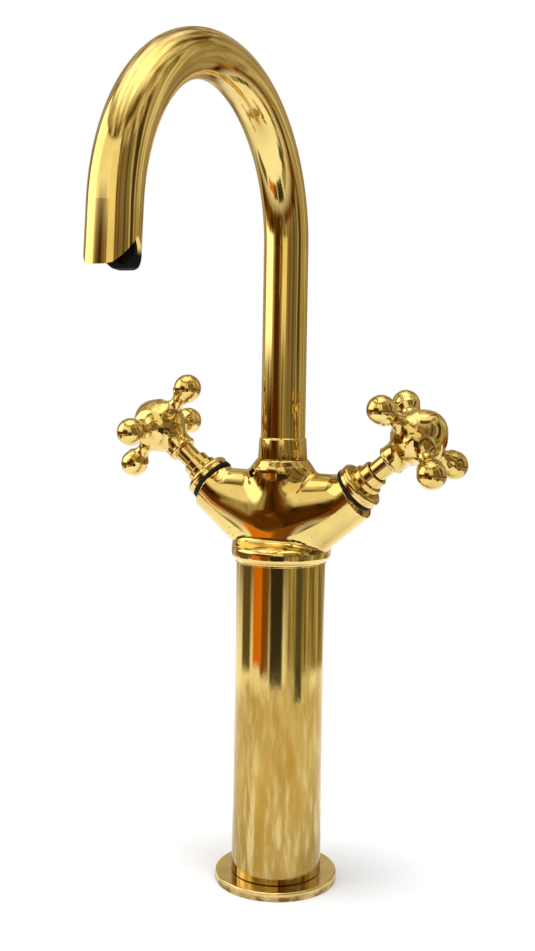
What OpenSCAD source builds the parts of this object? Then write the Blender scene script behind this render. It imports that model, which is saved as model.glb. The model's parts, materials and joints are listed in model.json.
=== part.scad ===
// Tall deck tap for a vessel basin: one column, a Y shaped valve body with two
// cross handles, and a swivelling gooseneck spout.
// Millimetres, +Z up. The origin is the centre of the foot on the counter.
// The spout points towards -Y, the hot valve is on -X and the cold one on +X.

/* [Foot] */
// Diameter of the round foot flange
flange_d = 58.5; // [54:0.5:72]
// Thickness of the foot flange
flange_t = 4; // [3.6:0.1:6]
// Depth of the seat that the column stands in, from the flange's top
flange_seat = 2; // [1.5:0.1:2.2]
// Width of the inner ledge that the column and its plug stand on
flange_ledge = 3; // [2.2:0.1:4]
// Rounding of the flange's upper edge
flange_edge = 1; // [0.5:0.1:1.5]
// Width of the rubber gasket under the flange
gasket_w = 3.5; // [2.5:0.1:4]
// Thickness of the rubber gasket
gasket_t = 1.5; // [1:0.1:1.8]
// Metal between the gasket groove and the flange's rim
gasket_margin = 2.2; // [2:0.1:3]

/* [Column] */
// Outside diameter of the column
column_d = 43; // [41:0.5:46]
// Wall of the column tube
column_wall = 2; // [1.8:0.1:2.6]
// Height of the joint between column and valve body above the counter
column_h = 152.5; // [60:0.5:260]
// Length of the turned-down end that enters the valve body
column_spigot_l = 7.5; // [5:0.5:8]
// How much the radius of that end is turned down
column_spigot_step = 0.9; // [0.6:0.1:1]
// Thickness of the mounting plug in the column's foot
plug_t = 12; // [8:0.5:20]
// Hole for the fixing stud, tapped M8
stud_hole_d = 6.8; // [5:0.1:8.5]
// Distance of the fixing stud from the centre, towards the front
stud_y = 12; // [11.5:0.1:13]
// Diameter of the two hose passages through the plug
passage_d = 11; // [10:0.1:12]

/* [Valve body] */
// Height of the plain lip under the body's bead
lip_h = 1.6; // [1.3:0.1:2]
// How far the lip stands out of the column
lip_out = 0.6; // [0.4:0.1:1.2]
// How far the groove between lip and bead stands out of the column
groove_out = 0.3; // [0.2:0.1:0.4]
// How far the bead stands out of the column
bead_out = 2.5; // [2:0.1:3.5]
// Radius of the bead's rounded edges
bead_section = 2.4; // [2.2:0.1:2.6]
// Height of the straight side between the bead's rounded edges
bead_flat = 1.8; // [1.2:0.1:2.2]
// How far the round cup above the bead stands out of the column
cup_out = 1.2; // [0.8:0.1:1.6]
// Height of the cup's top above the column joint
cup_h = 12.5; // [11.5:0.1:14]
// Rounding of the cup's upper edge
cup_round = 2.5; // [1.5:0.1:3]
// Diameter of the two arms
arm_d = 24.2; // [22.6:0.1:25.4]
// Angle of the arms above the horizontal
arm_slope = 40; // [37:0.5:44]
// Height above the column joint at which the arm axes cross
arm_cross_h = 4.8; // [3.8:0.1:5.5]
// Length of an arm from the crossing point to its end face
arm_l = 49; // [47:0.5:56]
// Chamfer on the arm's end edge
arm_edge = 0.6; // [0.3:0.1:1]
// Diameter of the body's middle, from which both arms flare
centre_d = 30; // [28:0.5:31]
// Height of the body's middle above the column joint
centre_h = 17.5; // [16.5:0.5:19]
// Angle above the horizontal at which the flares run into the arms
flare_slope = 22; // [20:0.5:24]
// Height above the column joint of the shoulders that fill the Y
shoulder_h = 31.6; // [31.4:0.1:31.8]
// Angle at which a shoulder tapers and tilts, so that its upper side is level
shoulder_tilt = 5.5; // [4:0.5:7]
// Distance from a shoulder's outer corner to the plane of the arm's end face
shoulder_gap = 1.2; // [1:0.1:1.4]
// Diameter of the neck that carries the spout
neck_d = 27; // [25:0.1:28]
// Height of the neck's top face above the column joint
neck_h = 49.5; // [48.5:0.5:56]
// How far the neck's top bead stands out of the neck
neck_bead_out = 0.9; // [0.5:0.1:1.5]
// Radius of the neck bead's round section
neck_bead_section = 2.3; // [2:0.1:2.6]
// Distance between the two water inlets
inlet_pitch = 19; // [18:0.5:20]
// Hole of a water inlet, tapped M10 x 1
inlet_d = 9; // [8:0.1:9.6]
// Length of the inlet thread
inlet_l = 9; // [8:0.5:10]
// Diameter of the drilling from inlet to valve seat
seat_hole_d = 6; // [5:0.1:6]
// Depth of the outlet gallery round the valve
gallery_depth = 1.1; // [0.8:0.1:1.4]
// Diameter of the port from a valve to the mixing chamber
port_d = 6; // [5:0.1:7]
// Diameter of the mixing chamber under the spout
mixing_d = 10; // [8:0.1:11]
// Height of the mixing chamber
mixing_h = 7; // [6:0.5:8]

/* [Valves] */
// Diameter of the bore that a valve screws into
valve_bore_d = 17; // [16.8:0.1:17.6]
// Outside diameter of the black rubber ring at the arm's end
ring_d = 23.4; // [21:0.1:24]
// Thickness of the black rubber ring
ring_t = 2; // [1.5:0.1:2.5]
// Length of the threaded barrel below the bonnet's shoulder
barrel_l = 21; // [20.5:0.1:22]
// Diameter of the bonnet's wide bead
bonnet_bead_d = 23.6; // [20:0.1:25]
// Length of the bonnet's wide bead
bonnet_bead_l = 4.4; // [3.8:0.1:5]
// Diameter of the bonnet's middle step
bonnet_step_d = 15.8; // [15:0.1:17]
// Length of the bonnet's middle step
bonnet_step_l = 3.5; // [2.5:0.1:5]
// Diameter of the bonnet's nose
bonnet_nose_d = 13.2; // [13:0.1:14]
// Length of the bonnet's nose
bonnet_nose_l = 4.7; // [4:0.1:6]
// Diameter of the recess round the spindle in the nose
recess_d = 11.4; // [11:0.1:11.8]
// Depth of the recess round the spindle in the nose
recess_l = 1.2; // [0.8:0.1:2]
// Diameter of the spindle
spindle_d = 10; // [9:0.1:10.4]
// Length of spindle that shows between bonnet and handle
stem_l = 8.2; // [6:0.1:12]
// Outside diameter of the serrated spindle end
spline_d = 7.8; // [7:0.1:8]
// Depth of the serrations
spline_depth = 0.4; // [0.3:0.05:0.5]
// Number of serrations
spline_teeth = 20; // [16:1:24]
// Length of the serrated spindle end
spline_l = 12; // [10:0.5:13]
// Diameter of the ceramic discs
disc_d = 12.9; // [12.6:0.1:12.9]
// Thickness of the fixed disc
fixed_disc_t = 3.2; // [2.5:0.1:3.5]
// Thickness of the moving disc
moving_disc_t = 3; // [2.5:0.1:3.5]
// Thickness of the spindle's driving flange
driver_t = 3.8; // [3:0.1:4.5]
// Width of the tongue that turns the moving disc
tongue_w = 2.4; // [1.8:0.1:3]
// Height of that tongue
tongue_h = 1.3; // [1:0.1:1.5]
// Thickness of the rubber seat seal
seal_t = 3; // [2.5:0.1:3.5]
// Hole in the rubber seat seal
seal_hole_d = 8.4; // [7.8:0.1:9]
// Width of the bonnet's outlet windows
window_w = 7; // [5:0.1:8]
// Section of the spindle's O-ring
spindle_oring_t = 1.4; // [1.2:0.1:1.6]

/* [Handles] */
// Diameter of the handle's hub
hub_d = 14; // [13.5:0.1:15]
// How far the hub's lip stands out
hub_lip_out = 0.3; // [0.2:0.05:0.6]
// Length from the hub's lip to the middle of the cross
hub_l = 18.2; // [17.5:0.1:21]
// Diameter of the body in the middle of the cross
cross_body_d = 17.6; // [16.5:0.1:18.5]
// Diameter of the domed end
dome_d = 19.6; // [18.4:0.1:20.4]
// Distance of the dome's centre beyond the middle of the cross
dome_l = 5.2; // [4:0.1:6]
// Diameter of the balls
ball_d = 13.6; // [12:0.1:15]
// Distance of a ball's centre from the handle's axis
ball_reach = 26; // [24.5:0.1:30]
// Narrowest diameter of a handle arm
waist_d = 6; // [5:0.1:7]
// Radius of the hollow that shapes a handle arm
waist_hollow = 8; // [7:0.1:8.6]
// Number of arms on a handle
arms_n = 4; // [3:1:4]
// Turn of the hot handle on its serrations when closed
hot_twist = -5; // [-30:1:30]
// Turn of the cold handle on its serrations when closed
cold_twist = 48; // [20:1:70]

/* [Spout] */
// Outside diameter of the spout tube
tube_d = 21.6; // [20.6:0.1:22.4]
// Wall of the spout tube
tube_wall = 1.6; // [1.2:0.1:1.8]
// Length of the straight riser
riser_l = 100; // [60:1:160]
// Radius of the gooseneck's centre line
arch_r = 75.5; // [50:0.5:110]
// Angle that the gooseneck turns through
arch_sweep = 177; // [170:0.5:180]
// Length of the straight outlet end
outlet_l = 24; // [22:0.5:40]
// Depth of the notch across the outlet's sides
notch_h = 11.6; // [6:0.1:12.5]
// How much of the outlet's lip stays square at front and back
lip_flat = 0.5; // [0.3:0.1:1.5]
// How far the collar stands out of the tube
collar_out = 0.9; // [0.6:0.1:1.4]
// Height of the collar at the spout's foot
collar_h = 9.9; // [8:0.1:14]
// Thickness of the collar's floor
collar_floor = 1.5; // [1.2:0.1:2]
// Rounding of the collar's upper edge
collar_edge = 0.7; // [0.4:0.1:0.8]
// Diameter of the spigot that turns in the neck
spigot_d = 15; // [14.4:0.1:15.6]
// Length of the spigot below the neck's top face
spigot_l = 13.6; // [13.2:0.1:14]
// Water bore of the spigot
spigot_bore = 9; // [7:0.1:9.4]
// Length of the spigot's plug inside the tube
plug_in_tube = 8; // [6:0.5:12]
// Section of the spigot's O-rings
spigot_oring_t = 1.8; // [1.6:0.1:1.9]
// Depth of the upper O-ring's middle below the neck's top face
oring_drop = 3.2; // [3:0.1:3.4]
// Distance of each O-ring from the groove between them, in which the swivel screw runs
oring_spacing = 4.2; // [4:0.1:4.4]
// Thickness of the plastic thrust washer
washer_t = 0.6; // [0.4:0.1:1]
// How far the thrust washer's edge stays inside the collar's side
washer_inset = 1.2; // [0.8:0.1:2]
// Wall of the black outlet sleeve
sleeve_wall = 1.2; // [1:0.1:1.4]
// Length of the black outlet sleeve
sleeve_l = 20; // [19:0.5:21]
// Thickness of the flow grid in the sleeve
grid_t = 3; // [2:0.1:4]
// Diameter of a hole in the flow grid
grid_hole_d = 2.4; // [1.8:0.1:2.5]
// Thickness of the rubber washer above the sleeve
outlet_washer_t = 1.5; // [1:0.1:2]

/* [Screws] */
// Diameter of the small grub screws
grub_d = 4; // [3:0.1:4]
// Diameter of the spout screw's dog point
dog_d = 2.5; // [2:0.1:2.7]
// How far the dog point enters the spigot's groove
dog_l = 1; // [0.8:0.1:1.1]
// Hexagon socket of a grub screw, across its corners
socket_d = 2.3; // [2:0.1:2.4]
// Depth of the hexagon socket
socket_l = 1.5; // [1:0.1:1.6]

/* [Fits] */
// Radial clearance of brazed, screwed and pushed-in pieces
seat_fit = 0.05; // [0.02:0.01:0.08]
// Radial clearance of pieces that turn
turn_fit = 0.05; // [0.03:0.01:0.08]
// Gap between flat faces that turn on each other
face_gap = 0.05; // [0.02:0.01:0.1]
// Radial clearance of an O-ring in its bore
oring_fit = 0.02; // [0.01:0.01:0.03]

/* [Hidden] */
$fn = 72;

hot_side = -1;
cold_side = 1;
// Extra length with which a cutter passes a face
over = 1;
// Small sink that keeps blended curves from meeting exactly tangent
blend = 0.15;
// Step by which the outlet end is thinner than the arch that it grows out of
limb_step = 0.02;

brass = [0.80, 0.62, 0.28];
satin_brass = [0.72, 0.58, 0.32];
rubber = [0.05, 0.05, 0.05];
black_plastic = [0.08, 0.08, 0.08];
white_plastic = [0.90, 0.90, 0.88];
ceramic = [0.93, 0.92, 0.89];
steel = [0.62, 0.63, 0.65];

column_r = column_d / 2;
column_ri = column_r - column_wall;
column_foot_z = flange_t - flange_seat;
column_spigot_r = column_r - column_spigot_step;
flange_bore_r = column_r - flange_ledge;
gasket_ro = flange_d / 2 - gasket_margin;
plug_z = column_foot_z;
inlet_x = inlet_pitch / 2;

socket_r = column_spigot_r + seat_fit;
socket_top_z = column_h + column_spigot_l + 2 * face_gap;
cup_r = column_r + cup_out;
cup_top_z = column_h + cup_h;
bead_r = column_r + bead_out;
bead_z = column_h + lip_h + bead_section;
arm_r = arm_d / 2;
arm_z = column_h + arm_cross_h;
arm_turn = 90 - arm_slope;
centre_r = centre_d / 2;
centre_z = column_h + centre_h;
flare_l = (centre_z - arm_z) / (cos(flare_slope) * tan(arm_slope) - sin(flare_slope));
shoulder_z = column_h + shoulder_h;
shoulder_r = arm_r - blend;
shoulder_top_z = shoulder_z + shoulder_r * cos(shoulder_tilt);
shoulder_end_x = (arm_l - shoulder_gap - (shoulder_top_z - arm_z) * sin(arm_slope)) / cos(arm_slope);
shoulder_l = (shoulder_end_x + shoulder_r * sin(shoulder_tilt)) * cos(shoulder_tilt);
shoulder_end_r = shoulder_r - shoulder_l * tan(shoulder_tilt);
neck_r = neck_d / 2;
neck_top_z = column_h + neck_h;
neck_bead_z = neck_top_z - neck_bead_section - 0.5;

// Places along an arm's axis, measured from the crossing point
shoulder_s = arm_l + ring_t;
barrel_s = shoulder_s - barrel_l;
seat_s = barrel_s - seal_t;
moving_disc_s = barrel_s + fixed_disc_t + face_gap;
driver_s = moving_disc_s + moving_disc_t + face_gap;
chamber_end_s = driver_s + driver_t + 2 * face_gap;
window_s = moving_disc_s + 0.4;
window_l = moving_disc_t + 0.6;
step_s = shoulder_s + bonnet_bead_l;
nose_s = step_s + bonnet_step_l;
bonnet_end_s = nose_s + bonnet_nose_l;
hub_s = bonnet_end_s + stem_l;
cross_s = hub_s + hub_l;
spindle_oring_s = shoulder_s + 1;
hub_screw_s = hub_s + 5;

valve_bore_r = valve_bore_d / 2;
barrel_r = valve_bore_r - seat_fit;
spindle_r = spindle_d / 2;
spindle_bore_r = spindle_r + turn_fit;
chamber_r = disc_d / 2 + seat_fit;
gallery_r = valve_bore_r + gallery_depth;
hub_r = hub_d / 2;
spline_r = spline_d / 2;
ball_r = ball_d / 2;
grub_r = grub_d / 2;

// Places up the spout's swivel
spigot_r = spigot_d / 2;
neck_bore_r = spigot_r + turn_fit;
neck_bore_l = spigot_l + 0.4;
mixing_z = neck_top_z - neck_bore_l;
upper_oring_z = neck_top_z - oring_drop;
groove_z = upper_oring_z - oring_spacing;
lower_oring_z = groove_z - oring_spacing;
collar_z = neck_top_z + washer_t + face_gap;
tube_z = collar_z + collar_floor;
tube_r = tube_d / 2;
tube_ri = tube_r - tube_wall;
collar_r = tube_r + collar_out;
arch_z = tube_z + riser_l;
sleeve_s = outlet_l - sleeve_l;
sleeve_ro = tube_ri - limb_step - seat_fit;
sleeve_ri = sleeve_ro - sleeve_wall;

// Moves a piece drawn on +Z out along the arm on the given side
module on_arm(side) {
    translate([0, 0, arm_z])
        rotate([0, side * arm_turn, 0])
            children();
}

// Moves a piece drawn on +Z to the start of the spout's straight outlet end,
// with +Z pointing the way the water leaves and +Y towards the front
module at_outlet() {
    translate([0, -arch_r, arch_z])
        rotate([arch_sweep, 0, 0])
            translate([0, arch_r, 0])
                children();
}

// Plain ring on +Z
module ring(ro, ri, h) {
    difference() {
        cylinder(r = ro, h = h);
        translate([0, 0, -over])
            cylinder(r = ri, h = h + 2 * over);
    }
}

// Right half of a circle, so that it can be revolved
module half_circle(r) {
    intersection() {
        circle(r = r);
        translate([0, -r])
            square([r, 2 * r]);
    }
}

// Rubber O-ring of round section that fits a bore of radius bore_r
module oring(bore_r, section) {
    rotate_extrude()
        translate([bore_r - oring_fit - section / 2, 0])
            circle(d = section, $fn = 32);
}

// Groove for such an O-ring, cut out of a shaft
module oring_groove(bore_r, section) {
    groove_r = bore_r - oring_fit - section - oring_fit;
    translate([0, 0, -section / 2 - 0.2])
        ring(bore_r + over, groove_r, section + 0.4);
}

// Grub screw on +Z with its socket at the far end; tip_r 0 gives a flat point
module grub_screw(r, l, tip_r, tip_l) {
    difference() {
        union() {
            cylinder(r = r, h = l);
            if (tip_r > 0)
                translate([0, 0, -tip_l])
                    cylinder(r = tip_r, h = tip_l + over);
        }
        translate([0, 0, l - socket_l])
            cylinder(d = socket_d, h = socket_l + over, $fn = 6);
    }
}

// Serrated outline shared by the spindle's end and the handle's bore
module serration(grow) {
    polygon([for (i = [0 : 2 * spline_teeth - 1])
        let (a = i * 180 / spline_teeth,
             r = spline_r + grow - (i % 2) * spline_depth)
        [r * cos(a), r * sin(a)]]);
}

// Foot

module base_flange() {
    color(satin_brass)
        difference() {
            rotate_extrude() {
                square([flange_d / 2, flange_t - flange_edge]);
                square([flange_d / 2 - flange_edge, flange_t]);
                translate([flange_d / 2 - flange_edge, flange_t - flange_edge])
                    circle(r = flange_edge, $fn = 32);
            }
            translate([0, 0, -over])
                cylinder(r = flange_bore_r, h = flange_t + 2 * over);
            translate([0, 0, column_foot_z])
                cylinder(r = column_r + seat_fit, h = flange_seat + over);
            translate([0, 0, -over])
                ring(gasket_ro, gasket_ro - gasket_w, gasket_t + over);
        }
}

module base_gasket() {
    color(rubber)
        ring(gasket_ro - seat_fit, gasket_ro - gasket_w + seat_fit, gasket_t);
}

module column() {
    color(brass)
        difference() {
            union() {
                translate([0, 0, column_foot_z])
                    cylinder(r = column_r, h = column_h - column_foot_z);
                translate([0, 0, column_foot_z])
                    cylinder(r = column_spigot_r, h = column_h - column_foot_z + column_spigot_l);
            }
            translate([0, 0, column_foot_z - over])
                cylinder(r = column_ri, h = column_h + column_spigot_l + 2 * over);
        }
}

module base_plug() {
    color(satin_brass)
        difference() {
            translate([0, 0, plug_z])
                cylinder(r = column_ri - seat_fit, h = plug_t);
            for (side = [hot_side, cold_side])
                translate([side * inlet_x, 0, plug_z - over])
                    cylinder(d = passage_d, h = plug_t + 2 * over);
            translate([0, -stud_y, plug_z - over])
                cylinder(d = stud_hole_d, h = plug_t + 2 * over);
        }
}

// Valve body

// Lip, groove, bead, cup, middle and neck of the casting as one turned outline
module trunk_outline() {
    translate([0, column_h])
        square([column_r + lip_out, lip_h]);
    translate([0, column_h + lip_h - over])
        square([column_r + groove_out, bead_section + over]);
    for (z = [bead_z, bead_z + bead_flat])
        translate([bead_r - bead_section, z])
            circle(r = bead_section, $fn = 48);
    translate([bead_r - bead_section, bead_z])
        square([bead_section, bead_flat]);
    translate([0, bead_z])
        square([cup_r, cup_top_z - cup_round - bead_z]);
    translate([0, bead_z])
        square([cup_r - cup_round, cup_top_z - bead_z]);
    translate([cup_r - cup_round, cup_top_z - cup_round])
        circle(r = cup_round, $fn = 48);
    translate([0, centre_z])
        half_circle(centre_r + blend);
    translate([0, centre_z])
        square([neck_r, neck_top_z - centre_z]);
    translate([neck_r + neck_bead_out - neck_bead_section, neck_bead_z])
        circle(r = neck_bead_section, $fn = 48);
}

module body_arm() {
    cylinder(r = arm_r, h = arm_l - arm_edge);
    translate([0, 0, arm_l - arm_edge])
        cylinder(r1 = arm_r, r2 = arm_r - arm_edge, h = arm_edge);
}

// Bores of one valve, from the seat drilling out to the arm's end
module valve_bores() {
    translate([0, 0, inlet_x])
        cylinder(d = seat_hole_d, h = seat_s - inlet_x + over);
    translate([0, 0, seat_s])
        cylinder(r = valve_bore_r, h = arm_l - seat_s + over);
    translate([0, 0, window_s - 1])
        cylinder(r = gallery_r, h = window_l + 2);
}

// Drilling from a valve's gallery to the mixing chamber
module port(side) {
    gallery_mid_s = window_s + window_l / 2;
    port_z = mixing_z - mixing_h / 2 - 0.5;
    gallery_x = gallery_mid_s * cos(arm_slope) - valve_bore_r * sin(arm_slope);
    gallery_z = arm_z + gallery_mid_s * sin(arm_slope) + valve_bore_r * cos(arm_slope);
    drop = gallery_z - port_z;
    translate([0, 0, port_z])
        rotate([0, side * atan2(gallery_x, drop), 0])
            cylinder(d = port_d, h = norm([gallery_x, drop]));
}

module valve_body() {
    color(brass)
        difference() {
            union() {
                rotate_extrude()
                    trunk_outline();
                for (side = [hot_side, cold_side])
                    on_arm(side)
                        body_arm();
                for (side = [hot_side, cold_side])
                    translate([0, 0, centre_z])
                        rotate([0, side * (90 - flare_slope), 0])
                            cylinder(r1 = centre_r, r2 = arm_r - blend, h = flare_l);
                for (side = [hot_side, cold_side])
                    translate([0, 0, shoulder_z])
                        rotate([0, side * (90 - shoulder_tilt), 0])
                            cylinder(r1 = shoulder_r, r2 = shoulder_end_r, h = shoulder_l);
            }
            translate([0, 0, column_h - arm_r])
                cylinder(r = socket_r, h = arm_r + column_spigot_l + 2 * face_gap);
            for (side = [hot_side, cold_side]) {
                translate([side * inlet_x, 0, socket_top_z - over])
                    cylinder(d = inlet_d, h = inlet_l + over);
                on_arm(side)
                    valve_bores();
                port(side);
            }
            translate([0, 0, mixing_z])
                cylinder(r = neck_bore_r, h = neck_bore_l + over);
            translate([0, 0, mixing_z - mixing_h])
                cylinder(d = mixing_d, h = mixing_h + over);
            translate([0, 0, groove_z])
                rotate([-90, 0, 0])
                    cylinder(r = grub_r, h = neck_r + 2 * over);
        }
}

module swivel_washer() {
    color(white_plastic)
        translate([0, 0, neck_top_z])
            ring(collar_r - washer_inset, neck_bore_r + 0.3, washer_t);
}

module swivel_screw() {
    screw_y = spigot_r + 0.3;
    color(steel)
        translate([0, screw_y, groove_z])
            rotate([-90, 0, 0])
                grub_screw(grub_r - seat_fit, neck_r - screw_y - 0.6, dog_d / 2, dog_l + 0.3);
}

// Bonnets, their rings and the still half of each valve

module bonnet_outline() {
    bead_round = bonnet_bead_l * 0.45;
    translate([0, barrel_s])
        square([barrel_r, barrel_l + over]);
    translate([0, shoulder_s])
        square([bonnet_bead_d / 2 - bead_round, bonnet_bead_l]);
    translate([0, shoulder_s])
        square([bonnet_bead_d / 2 - 0.2, bonnet_bead_l - bead_round]);
    translate([bonnet_bead_d / 2 - bead_round, step_s - bead_round])
        circle(r = bead_round, $fn = 48);
    translate([0, step_s - over])
        square([bonnet_step_d / 2 - 0.6, bonnet_step_l + over]);
    translate([0, step_s - over])
        square([bonnet_step_d / 2, bonnet_step_l + over - 0.6]);
    translate([bonnet_step_d / 2 - 0.6, nose_s - 0.6])
        circle(r = 0.6, $fn = 32);
    translate([0, nose_s - over])
        square([bonnet_nose_d / 2 - 0.5, bonnet_nose_l + over]);
    translate([0, nose_s - over])
        square([bonnet_nose_d / 2, bonnet_nose_l + over - 0.5]);
    translate([bonnet_nose_d / 2 - 0.5, bonnet_end_s - 0.5])
        circle(r = 0.5, $fn = 32);
}

module bonnet() {
    color(brass)
        difference() {
            rotate_extrude()
                bonnet_outline();
            translate([0, 0, barrel_s - over])
                cylinder(r = chamber_r, h = chamber_end_s - barrel_s + over);
            translate([0, 0, barrel_s])
                cylinder(r = spindle_bore_r, h = bonnet_end_s - barrel_s + over);
            translate([0, 0, bonnet_end_s - recess_l])
                cylinder(d = recess_d, h = recess_l + over);
            translate([-valve_bore_d, -window_w / 2, window_s])
                cube([2 * valve_bore_d, window_w, window_l]);
        }
}

module arm_ring() {
    edge = 0.4;
    outer_r = ring_d / 2;
    inner_r = valve_bore_r + seat_fit;
    color(rubber)
        translate([0, 0, arm_l])
            rotate_extrude()
                polygon([[inner_r, 0],
                         [outer_r - edge, 0],
                         [outer_r, edge],
                         [outer_r, ring_t - edge],
                         [outer_r - edge, ring_t],
                         [inner_r, ring_t]]);
}

module seat_seal() {
    color(rubber)
        translate([0, 0, seat_s])
            ring(valve_bore_r - 2 * seat_fit, seal_hole_d / 2, seal_t);
}

// The still disc has two ports
module fixed_disc() {
    color(ceramic)
        translate([0, 0, barrel_s])
            difference() {
                cylinder(d = disc_d, h = fixed_disc_t);
                for (a = [0, 180])
                    rotate([0, 0, a])
                        translate([disc_d / 4, 0, -over])
                            cylinder(d = disc_d / 4, h = fixed_disc_t + 2 * over);
            }
}

// Moving half of each valve

module moving_disc() {
    slot_w = tongue_w + 2 * turn_fit;
    color(ceramic)
        translate([0, 0, moving_disc_s])
            difference() {
                cylinder(d = disc_d - 2 * turn_fit, h = moving_disc_t);
                for (a = [90, 270])
                    rotate([0, 0, a])
                        translate([disc_d / 4, 0, -over])
                            cylinder(d = disc_d / 4, h = moving_disc_t / 2 + over);
                translate([-disc_d, -slot_w / 2, moving_disc_t - tongue_h - 2 * face_gap])
                    cube([2 * disc_d, slot_w, tongue_h + over]);
            }
}

module spindle() {
    color(brass)
        difference() {
            union() {
                translate([0, 0, driver_s])
                    cylinder(d = disc_d - 2 * turn_fit, h = driver_t);
                translate([-disc_d / 2 + 1, -tongue_w / 2, driver_s - tongue_h])
                    cube([disc_d - 2, tongue_w, tongue_h + over]);
                translate([0, 0, driver_s])
                    cylinder(r = spindle_r, h = hub_s - driver_s);
                translate([0, 0, driver_s])
                    linear_extrude(hub_s - driver_s + spline_l)
                        serration(0);
            }
            translate([0, 0, spindle_oring_s])
                oring_groove(spindle_bore_r, spindle_oring_t);
        }
}

module spindle_oring() {
    color(rubber)
        translate([0, 0, spindle_oring_s])
            oring(spindle_bore_r, spindle_oring_t);
}

// Handles

// Turned outline of hub, middle and dome, with a hollow flare into the cross
module hub_outline() {
    lip_round = 1.1;
    body_r = cross_body_d / 2;
    flare_r = 7;
    flare_x = hub_r + flare_r - blend;
    flare_z = sqrt(pow(body_r + flare_r - blend, 2) - pow(flare_x, 2));
    translate([0, hub_s])
        square([hub_r + hub_lip_out - lip_round, hub_l]);
    translate([0, hub_s + lip_round])
        square([hub_r, hub_l - lip_round]);
    translate([hub_r + hub_lip_out - lip_round, hub_s + lip_round])
        circle(r = lip_round, $fn = 32);
    translate([0, cross_s])
        half_circle(body_r);
    translate([0, cross_s + dome_l])
        half_circle(dome_d / 2);
    difference() {
        translate([0, cross_s - flare_z])
            square([body_r, flare_z * flare_r / (body_r + flare_r)]);
        translate([flare_x, cross_s - flare_z])
            circle(r = flare_r, $fn = 48);
    }
}

// One arm on +Z: hollow all round, with a flare at its root and one that runs into its ball
module cross_arm() {
    hollow_x = waist_d / 2 + waist_hollow;
    hollow_z = ball_reach - sqrt(pow(waist_hollow + ball_r - blend, 2) - pow(hollow_x, 2));
    flare_r = hollow_x * ball_r / (waist_hollow + ball_r);
    root_z = 5;
    rotate_extrude() {
        difference() {
            translate([0, root_z])
                square([cross_body_d * 0.4, ball_reach - root_z]);
            translate([hollow_x, hollow_z])
                circle(r = waist_hollow, $fn = 64);
            translate([flare_r, hollow_z])
                square([cross_body_d, ball_reach]);
        }
        translate([0, ball_reach])
            half_circle(ball_r);
    }
}

module handle(twist) {
    color(brass)
        difference() {
            union() {
                rotate_extrude()
                    hub_outline();
                for (i = [0 : arms_n - 1])
                    rotate([0, 0, twist + i * 360 / arms_n])
                        translate([0, 0, cross_s])
                            rotate([0, 90, 0])
                                cross_arm();
            }
            translate([0, 0, hub_s - over])
                linear_extrude(spline_l + 1.5 * over)
                    serration(seat_fit);
            translate([0, 0, hub_screw_s])
                rotate([-90, 0, 0])
                    cylinder(r = grub_r, h = hub_r + 2 * over);
        }
}

module handle_screw() {
    screw_y = spline_r + 2 * seat_fit;
    color(steel)
        translate([0, screw_y, hub_screw_s])
            rotate([-90, 0, 0])
                grub_screw(grub_r - seat_fit, hub_r - screw_y - 0.2, 0, 0);
}

// Spout

// V shaped notch that runs across the sides of the outlet's end
module outlet_notch() {
    lip_y = tube_r - lip_flat;
    shoulder_y = lip_y - 1.3;
    shoulder_rise = 0.8;
    translate([tube_d, 0, outlet_l])
        rotate([90, 0, -90])
            linear_extrude(2 * tube_d)
                polygon([[-lip_y, over],
                         [-lip_y, 0],
                         [-shoulder_y, -shoulder_rise],
                         [0, -notch_h],
                         [shoulder_y, -shoulder_rise],
                         [lip_y, 0],
                         [lip_y, over]]);
}

// Solid of radius r that follows the spout's centre line, past both ends
module spout_path(r, past) {
    translate([0, 0, tube_z - past])
        cylinder(r = r, h = riser_l + past);
    translate([0, -arch_r, arch_z])
        rotate([90, 0, 90])
            rotate_extrude(angle = arch_sweep)
                translate([arch_r, 0])
                    circle(r = r);
    at_outlet()
        translate([0, 0, -over])
            cylinder(r = r - limb_step, h = outlet_l + over + past);
}

module spout_tube() {
    color(brass)
        difference() {
            spout_path(tube_r, 0);
            spout_path(tube_ri, over);
            at_outlet()
                outlet_notch();
        }
}

module spout_collar() {
    color(brass)
        translate([0, 0, collar_z])
            difference() {
                rotate_extrude() {
                    square([collar_r, collar_h - collar_edge]);
                    square([collar_r - collar_edge, collar_h]);
                    translate([collar_r - collar_edge, collar_h - collar_edge])
                        circle(r = collar_edge, $fn = 32);
                }
                translate([0, 0, -over])
                    cylinder(r = spigot_r + seat_fit, h = collar_h);
                translate([0, 0, collar_floor])
                    cylinder(r = tube_r + seat_fit, h = collar_h);
            }
}

module spout_spigot() {
    bottom_z = neck_top_z - spigot_l;
    color(satin_brass)
        difference() {
            union() {
                translate([0, 0, bottom_z])
                    cylinder(r = spigot_r, h = tube_z - bottom_z + over);
                translate([0, 0, tube_z])
                    cylinder(r = tube_ri - seat_fit, h = plug_in_tube);
            }
            translate([0, 0, bottom_z - over])
                cylinder(d = spigot_bore, h = tube_z - bottom_z + plug_in_tube + 2 * over);
            for (z = [upper_oring_z, lower_oring_z])
                translate([0, 0, z])
                    oring_groove(neck_bore_r, spigot_oring_t);
            translate([0, 0, groove_z - dog_d / 2 - 0.2])
                ring(spigot_r + over, spigot_r - dog_l - 0.2, dog_d + 0.4);
        }
}

module spigot_orings() {
    color(rubber)
        for (z = [upper_oring_z, lower_oring_z])
            translate([0, 0, z])
                oring(neck_bore_r, spigot_oring_t);
}

module outlet_sleeve() {
    color(black_plastic)
        at_outlet()
            difference() {
                translate([0, 0, sleeve_s])
                    ring(sleeve_ro, sleeve_ri, sleeve_l);
                outlet_notch();
            }
}

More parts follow.
